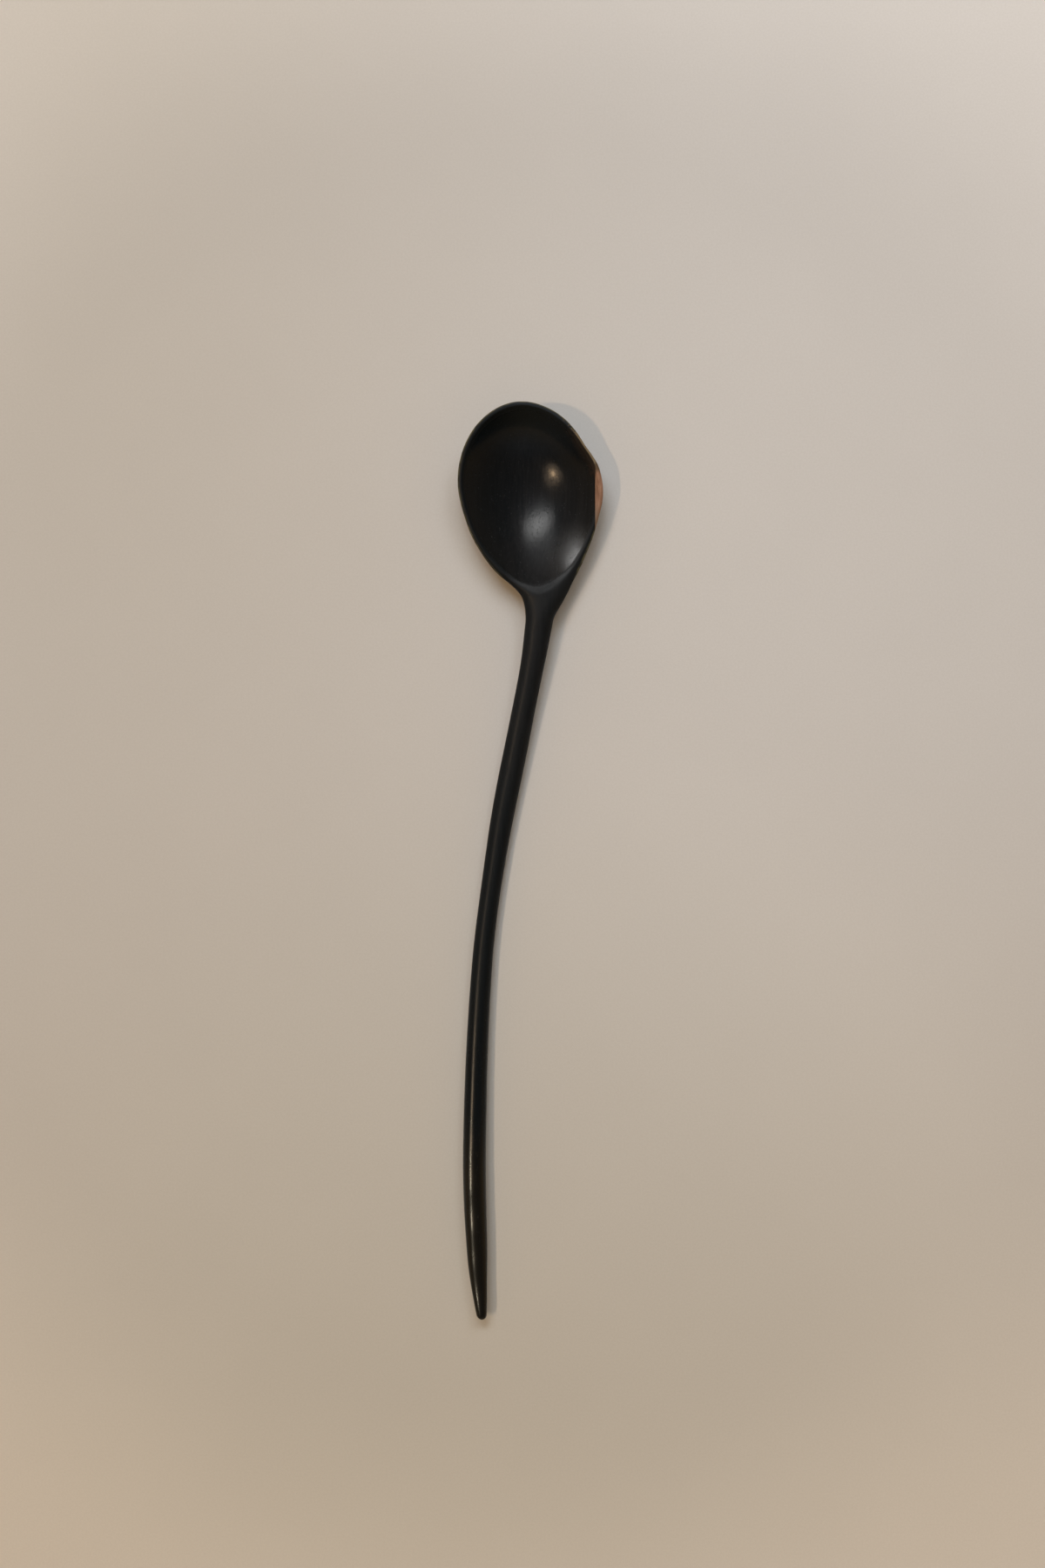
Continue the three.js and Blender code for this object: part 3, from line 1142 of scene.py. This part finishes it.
        # Painted highlight: a soft brown band on the right-hand shoulder and the rim, within the
        # worn place.
        worn = self.mask(graph, self.rubbed_highlight_patch)
        outwards = graph.measure("DOT_PRODUCT", place, self.shoulder_faces)
        shoulder = graph.span(outwards, *self.shoulder_span)
        band = graph.plus(shoulder, graph.span(rim, *self.brown_highlight_span))
        colour = graph.blend(graph.times(worn, band), colour, self.brown_highlight)
        # Partly wear and partly a painted highlight: the golden line along the rim's outer edge.
        edge = graph.times(worn, graph.span(rim, *self.rubbed_highlight_span))
        colour = graph.blend(edge, colour, self.rubbed_highlight)
        held = graph.span(graph.axes(place)["Y"], *self.held_span, *self.held_tone)
        return graph.tint(colour, held)

    def roughness(self, graph: Graph, streak: Source, pore: Source) -> bpy.types.NodeSocket:
        """Gives the roughness: least where the lamp shows in the hollow.

        Args:
            graph: The material's graph.
            streak: The fine grain.
            pore: The open pores.

        Returns:
            The roughness.
        """
        rough = graph.span(graph.attribute("polish"), 0.0, 1.0, self.matt, self.polished)
        rough = graph.plus(rough, graph.times(pore, self.pore_roughness))
        rough = graph.plus(rough, graph.span(streak, 0.0, 1.0, *self.streak_roughness))
        patch = self.smooth_patch
        away = graph.measure("DISTANCE", graph.place(), patch.centre)
        least = self.smoothest / self.polished
        keep = graph.span(away, patch.core * patch.radius, patch.radius, least)
        return graph.times(rough, keep)

    def coat(self, graph: Graph, pore: Source) -> bpy.types.NodeSocket:
        """Gives the weight of the oil: most where use has burnished the wood.

        Args:
            graph: The material's graph.
            pore: The open pores.

        Returns:
            The weight of the coat.
        """
        y = graph.axes(graph.place())["Y"]
        polish = graph.attribute("polish")
        patch = self.burnished_patch
        away = graph.measure("DISTANCE", graph.place(), patch.centre)
        burnish = graph.span(away, patch.radius, patch.core * patch.radius)
        burnish = graph.times(graph.times(burnish, polish), self.burnished_coat)
        coat = graph.times(graph.span(polish, *self.oil_span), graph.span(y, *self.oil_ahead))
        coat = graph.plus(coat, burnish)
        coat = graph.plus(coat, graph.span(y, *self.held_span, *self.held_coat))
        return graph.times(coat, graph.span(pore, 0.0, 1.0, 1.0, self.oil_in_pore))

    def relief(self, graph: Graph, streak: Source, pore: Source) -> bpy.types.NodeSocket:
        """Sinks the pores and gives the surface its fine grain.

        Args:
            graph: The material's graph.
            streak: The fine grain.
            pore: The open pores.

        Returns:
            The normal.
        """
        height = graph.minus(graph.times(streak, self.streak_height), pore)
        speckle = graph.noise(graph.place(), self.speckle_fineness)
        height = graph.plus(height, graph.times(speckle, self.speckle_height))
        return graph.bump(height, self.relief_strength, self.relief_height)


@dataclass(frozen=True)
class PaleWood:
    """Orange-brown straight-grained wood, oiled."""

    effects: WoodEffects
    grain: Grain = Grain(2600.0, 0.05, 3800.0, 0.14)
    light: Colour = (0.315, 0.188, 0.136, 1.0)
    dark: Colour = (0.20, 0.11, 0.074, 1.0)
    # Painted shade: the strip turns darker towards its back end.
    dusky_shade: Colour = (0.175, 0.12, 0.088, 1.0)
    dusky_shade_behind: Span = (-0.003, -0.0085)
    stain: Colour = (0.085, 0.058, 0.037, 1.0)
    stain_ahead: Span = (0.0034, 0.0054)
    pore_share: float = 0.5
    matt: float = 0.46
    pore_roughness: float = 0.2
    specular: float = 0.25
    relief_strength: float = 0.3
    relief_height: float = 0.00008

    def make(self) -> bpy.types.Material:
        """Builds the material."""
        material, graph, shader = new_material("pale_wood")
        streak, _, pore = self.grain.lay(graph, self.effects)
        colour = graph.blend(streak, self.light, self.dark)
        y = graph.axes(graph.place())["Y"]
        # Painted shade: darker towards the strip's back end.
        colour = graph.blend(graph.span(y, *self.dusky_shade_behind), colour, self.dusky_shade)
        colour = graph.blend(graph.span(y, *self.stain_ahead), colour, self.stain)
        colour = graph.blend(graph.times(pore, self.pore_share), colour, self.dark)
        rough = graph.plus(self.matt, graph.times(pore, self.pore_roughness))
        height = graph.minus(streak, pore)
        graph.put(shader, "Base Color", colour)
        graph.put(shader, "Roughness", rough)
        graph.put(shader, "Normal", graph.bump(height, self.relief_strength, self.relief_height))
        graph.put(shader, "Specular IOR Level", self.specular)
        return material


@dataclass(frozen=True)
class Paper:
    """Smooth pale paper, which fades into the backdrop, painted with light and shade: warmer and
    darker towards the spoon's handle.
    """

    ahead: Colour = (0.60, 0.617, 0.657, 1.0)
    # Painted light: the paper turns darker and warmer towards the handle, as the light falls off
    # and warms there.
    painted_falloff: Colour = (0.545, 0.53, 0.51, 1.0)
    painted_falloff_span: Span = (-0.03, -0.31)
    # Painted shade: the paper is darker and warmer on the left, near the spoon.
    left: Colour = (0.86, 0.83, 0.78, 1.0)
    left_aside: Span = (0.08, -0.14)
    left_along: Span = (-0.25, 0.05, 0.45, 1.0)
    left_reach: Span = (0.7, 0.25)
    # Painted light: the paper is brighter further from the middle.
    outer: Colour = (1.25, 1.25, 1.25, 1.0)
    outer_span: Span = (0.17, 0.28)
    middle: Place = (-0.002, -0.08, 0.0)
    cloud_fineness: float = 30.0
    cloud_span: Span = (0.3, 0.7, 0.995, 1.005)
    fibre_fineness: float = 1800.0
    fibre_span: Span = (0.3, 0.7, 0.98, 1.015)
    # Painted shade: the paper is a little darker further ahead.
    front_span: Span = (0.03, 0.12, 1.0, 0.95)
    beam_patch: Patch = Patch((-0.0145, -0.215, 0.0), 0.15)
    beam_tone: Ends = (1.0, 0.88)
    roughness: float = 0.9
    specular: float = 0.1
    fade_span: Span = (0.32, 1.1)

    def make(self) -> bpy.types.Material:
        """Builds the material."""
        material, graph, shader = new_material("paper")
        place = graph.place()
        away = graph.measure("DISTANCE", place, self.middle)
        colour = graph.tint(self.colour(graph, place, away), self.tone(graph, place))
        graph.put(shader, "Base Color", colour)
        graph.put(shader, "Roughness", self.roughness)
        graph.put(shader, "Specular IOR Level", self.specular)
        far = graph.add("ShaderNodeEmission")
        graph.put(far, "Color", BACKDROP)
        faded = graph.times(graph.seen(), graph.span(away, *self.fade_span))
        graph.choose(faded, shader.outputs[0], far.outputs[0], "Material Output")
        return material

    def colour(self, graph: Graph, place: Source, away: Source) -> bpy.types.NodeSocket:
        """Mixes the paper's broad tints, which are painted light and shade.

        Args:
            graph: The material's graph.
            place: The place on the paper.
            away: Its distance from the middle of the view.

        Returns:
            The colour.
        """
        axes = graph.axes(place)
        # Painted light: darker and warmer towards the handle.
        colour = graph.blend(graph.span(axes["Y"], *self.painted_falloff_span), self.ahead, self.painted_falloff)
        # Painted shade: darker and warmer on the left, near the spoon.
        left = graph.times(
            graph.span(axes["X"], *self.left_aside), graph.span(axes["Y"], *self.left_along)
        )
        left = graph.times(left, graph.span(away, *self.left_reach))
        colour = graph.tint(colour, graph.blend(left, WHITE, self.left))
        # Painted light: brighter further from the middle.
        outer = graph.span(away, *self.outer_span)
        return graph.tint(colour, graph.blend(outer, WHITE, self.outer))

    def tone(self, graph: Graph, place: Source) -> bpy.types.NodeSocket:
        """Mottles the paper, darkens it further ahead as painted shade, and takes back some of the
        light that the near lamp throws on it.

        Args:
            graph: The material's graph.
            place: The place on the paper.

        Returns:
            A number to multiply the colour by.
        """
        cloud = graph.span(graph.noise(place, self.cloud_fineness), *self.cloud_span)
        fibre = graph.span(graph.noise(place, self.fibre_fineness), *self.fibre_span)
        tone = graph.times(cloud, fibre)
        # Painted shade: a little darker further ahead.
        tone = graph.times(tone, graph.span(graph.axes(place)["Y"], *self.front_span))
        near = graph.measure("DISTANCE", place, self.beam_patch.centre)
        near = graph.times(near, near)
        lit = graph.span(near, self.beam_patch.radius**2, 0.0, *self.beam_tone)
        return graph.times(tone, lit)


class Use(Enum):
    """What a light is for: to light matt surfaces, or to show in glossy ones."""

    MATT = "matt"
    GLOSS = "gloss"


@dataclass(frozen=True)
class Light:
    """One oval light that faces the bowl."""

    name: str
    use: Use
    towards: Place
    distance: float
    size: tuple[float, float]
    power: float
    colour: Tint
    roll: float = 0.0

    def hang(self) -> None:
        """Puts the light in its place."""
        light = bpy.data.lights.new(self.name, "AREA")
        light.shape = "ELLIPSE"
        light.size, light.size_y = self.size
        light.energy = self.power
        light.color = self.colour
        lamp = add_object(self.name, light)
        direction = Vector(self.towards).normalized()
        lamp.location = direction * self.distance
        turn = Quaternion((0, 0, 1), math.radians(self.roll))
        lamp.rotation_euler = (direction.to_track_quat("Z", "Y") @ turn).to_euler()
        lamp.visible_glossy = self.use is Use.GLOSS
        lamp.visible_diffuse = self.use is Use.MATT


@dataclass(frozen=True)
class Beam:
    """One small lamp nearer by, which lights the grip and the paper round it."""

    name: str
    place: Place
    target: Place
    cone: float
    radius: float
    power: float
    colour: Tint

    def hang(self) -> None:
        """Puts the lamp in its place."""
        light = bpy.data.lights.new(self.name, "SPOT")
        light.spot_size = math.radians(self.cone)
        light.spot_blend = 1.0
        light.shadow_soft_size = self.radius
        light.energy = self.power
        light.color = self.colour
        lamp = add_object(self.name, light)
        lamp.location = self.place
        away = Vector(self.place) - Vector(self.target)
        lamp.rotation_euler = away.to_track_quat("Z", "Y").to_euler()


# The lamp and the window throw their shadows from other directions than those from which they
# show in the hollow, so one set of lights is for matt surfaces and another for glosses.
LAMP_SEEN: Place = (-0.50, -0.145, 1.0)
LAMP_ROLL = 14.0
LAMPLIGHT: Tint = (1.0, 0.66, 0.37)
DAYLIGHT: Tint = (0.95, 1.0, 1.0)
OFF_WHITE: Tint = (1.0, 0.995, 0.98)
LIGHTS = (
    Light("lamp", Use.MATT, (-0.53, -0.15, 1.0), 2.0, (0.05, 0.05), 8.0, LAMPLIGHT),
    Light("bulb", Use.GLOSS, LAMP_SEEN, 2.0, (0.05, 0.08), 2.2, LAMPLIGHT, LAMP_ROLL),
    Light("shade", Use.GLOSS, LAMP_SEEN, 2.01, (0.24, 0.46), 3.4, (1.0, 0.70, 0.42), LAMP_ROLL),
    Light("glow", Use.GLOSS, LAMP_SEEN, 2.02, (0.60, 1.00), 5.0, (1.0, 0.76, 0.54), LAMP_ROLL),
    Light("sky", Use.MATT, (-0.15, 0.48, 0.86), 1.5, (0.90, 0.44), 10.8, DAYLIGHT),
    Light("door", Use.MATT, (0.30, 0.52, 0.80), 1.5, (0.50, 0.50), 3.6, DAYLIGHT),
    Light("window", Use.GLOSS, (-0.13, 0.43, 0.89), 1.5, (0.46, 0.20), 1.4, (1.0, 1.0, 0.99)),
    Light("curtain", Use.GLOSS, (-0.10, 0.43, 0.89), 1.51, (0.94, 0.36), 9.2, OFF_WHITE),
    Light("sill", Use.GLOSS, (-0.12, 0.60, 0.78), 1.52, (0.60, 0.50), 0.5, OFF_WHITE),
    Light("wall", Use.GLOSS, (-0.64, 0.63, 0.42), 1.5, (0.52, 0.08), 9.5, (1.0, 1.0, 1.0), -28.0),
)
DESK_LAMP = Beam(
    "desk_lamp",
    place=(-0.6745, -0.455, 1.204),
    target=(-0.0145, -0.215, 0.004),
    cone=12.0,
    radius=0.012,
    power=9.0,
    colour=(1.0, 0.93, 0.72),
)


@dataclass
class Studio:
    """The paper under the spoon, the room with its lights, and the camera."""

    paper_size: float = 6.0
    low_glow: Colour = (0.52, 0.34, 0.165, 1.0)
    high_glow: Colour = (0.16, 0.105, 0.053, 1.0)
    lights: tuple[Light, ...] = LIGHTS
    beam: Beam = DESK_LAMP
    camera_place: Place = (-0.00225, -0.08375, 0.600)
    lens: float = 48.0

    def build(self) -> None:
        """Lays the paper, lights the room and sets the camera."""
        self.lay_paper()
        self.light_room()
        for light in (*self.lights, self.beam):
            light.hang()
        self.set_camera()

    def lay_paper(self) -> None:
        """Lays the paper at z = 0."""
        mesh = bmesh.new()
        bmesh.ops.create_grid(mesh, x_segments=2, y_segments=2, size=self.paper_size / 2)
        data = bpy.data.meshes.new("paper")
        mesh.to_mesh(data)
        mesh.free()
        paper = add_object("paper", data)
        data.materials.append(Paper().make())

    def light_room(self) -> None:
        """Gives the room a glow, stronger near the floor, and a pale wall for the camera to see."""
        world = bpy.data.worlds.new("room")
        world.use_nodes = True
        graph = Graph(world.node_tree)
        glow = graph.tree.nodes["Background"]
        up = graph.axes(graph.add("ShaderNodeTexCoord").outputs["Generated"])["Z"]
        colour = graph.blend(graph.span(up, 0.0, 1.0), self.low_glow, self.high_glow)
        graph.put(glow, "Color", colour)
        wall = graph.add("ShaderNodeBackground")
        graph.put(wall, "Color", BACKDROP)
        graph.choose(graph.seen(), glow.outputs[0], wall.outputs[0], "World Output")
        bpy.context.scene.world = world

    def set_camera(self) -> None:
        """Sets the camera straight above the spoon, and has colours shown as they are."""
        data = bpy.data.cameras.new("camera")
        data.lens = self.lens
        camera = add_object("camera", data)
        camera.location = self.camera_place
        bpy.context.scene.camera = camera
        bpy.context.scene.view_settings.view_transform = "Standard"


def main() -> None:
    """Builds the spoon and the studio."""
    logging.basicConfig(level=logging.INFO, format="%(name)s: %(message)s")
    form = SpoonForm()
    blank = CarvedBlank(form).build()
    plane = form.strip_plane()
    body = WoodPiece(blank, plane, "carved_body", "spoon_body", "dark_wood", Side.LEFT).build()
    strip = WoodPiece(blank, plane, "pale_rim_strip", "rim_strip", "pale_wood", Side.RIGHT).build()
    blank.free()
    effects = WoodEffects()
    body.data.materials.append(DarkWood(effects).make())
    strip.data.materials.append(PaleWood(effects).make())
    for piece in (body, strip):
        log.info("%s: %d faces", piece.name, len(piece.data.polygons))
    Studio().build()


if __name__ == "__main__":
    main()
